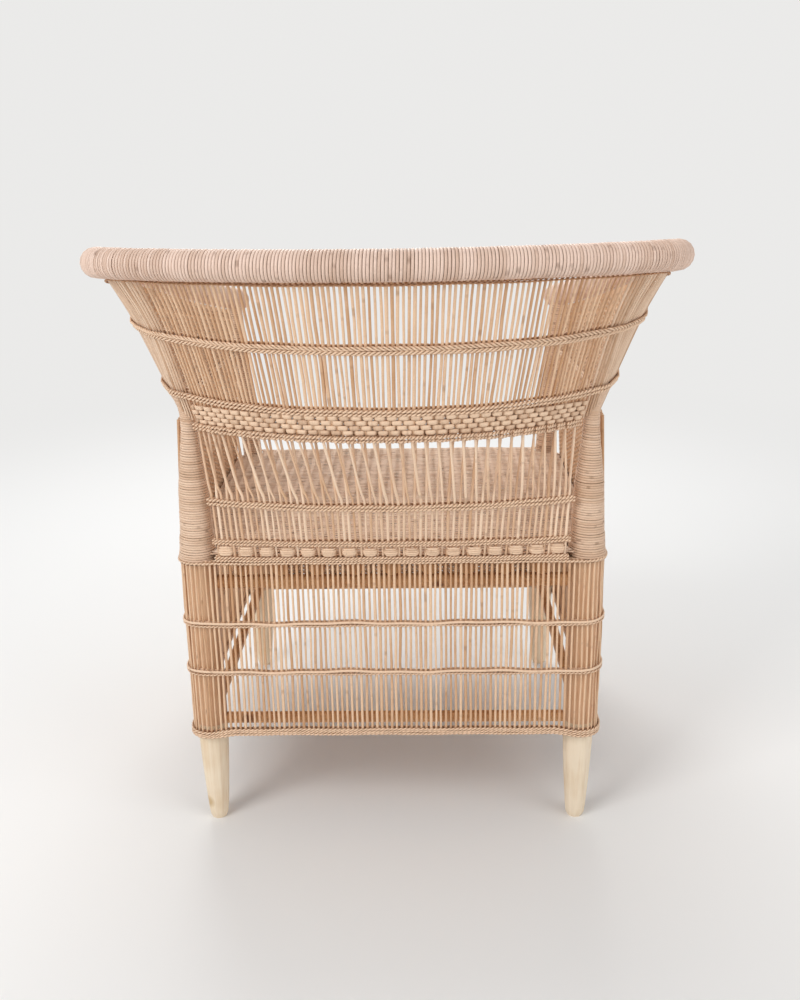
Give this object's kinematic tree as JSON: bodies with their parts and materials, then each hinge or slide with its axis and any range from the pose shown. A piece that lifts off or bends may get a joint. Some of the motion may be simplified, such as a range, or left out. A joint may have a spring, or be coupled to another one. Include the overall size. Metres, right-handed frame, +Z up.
{
  "type": "cane tub armchair",
  "caption": "Cane tub armchair on four carved pole legs: flared cane back, fat wound roll sloping into the arms, closed woven sides and seat, cane skirts.",
  "frame": {"origin": "on the floor, midway between the sides and midway between the front of the arms and the back of the roll", "axes": "+Z up, -Y the front where a person sits down, +X the sitter's left"},
  "size_m": [0.79, 0.746, 0.865],
  "materials": {
    "leg_wood": "natural",
    "pole_wood": "natural",
    "wound_cane": "natural",
    "woven_cane": "natural",
    "upright_cane": "natural",
    "twined_cane": "natural"
  },
  "bodies": {
    "root": {"arm_post_left": "pole_wood", "arm_post_right": "pole_wood", "arm_rail_left": "pole_wood", "arm_rail_right": "pole_wood", "arm_roll_wrap_left": "wound_cane", "arm_roll_wrap_right": "wound_cane", "back_stay_left": "pole_wood", "back_stay_right": "pole_wood", "basket_band": "twined_cane", "basket_lower_border": "twined_cane", "basket_upper_border": "twined_cane", "block_lower_border": "twined_cane", "block_upper_border": "twined_cane", "corner_canes_left": "upright_cane", "corner_canes_right": "upright_cane", "front_apron_weave": "woven_cane", "front_leg_left": "leg_wood", "front_leg_right": "leg_wood", "front_post_wrap_left": "wound_cane", "front_post_wrap_right": "wound_cane", "lower_back_canes": "upright_cane", "middle_twine": "twined_cane", "rear_leg_left": "leg_wood", "rear_leg_right": "leg_wood", "rear_post_wrap_left": "wound_cane", "rear_post_wrap_right": "wound_cane", "seam_strand": "twined_cane", "seat_band_blocks": "twined_cane", "seat_rail_front": "pole_wood", "seat_rail_left": "pole_wood", "seat_rail_rear": "pole_wood", "seat_rail_right": "pole_wood", "seat_slats": "pole_wood", "seat_weave": "woven_cane", "side_stakes_left": "upright_cane", "side_stakes_right": "upright_cane", "side_waist_twine_left": "twined_cane", "side_waist_twine_right": "twined_cane", "side_weave_left": "woven_cane", "side_weave_right": "woven_cane", "skirt_canes_front": "upright_cane", "skirt_canes_left": "upright_cane", "skirt_canes_rear": "upright_cane", "skirt_canes_right": "upright_cane", "skirt_hem": "twined_cane", "skirt_lower_twine": "twined_cane", "skirt_upper_twine": "twined_cane", "stretcher_front": "pole_wood", "stretcher_left": "pole_wood", "stretcher_rear": "pole_wood", "stretcher_right": "pole_wood", "top_rail": "pole_wood", "top_roll_wrap": "wound_cane", "top_twine": "twined_cane", "upper_back_canes": "upright_cane"}
  },
  "joints": []
}
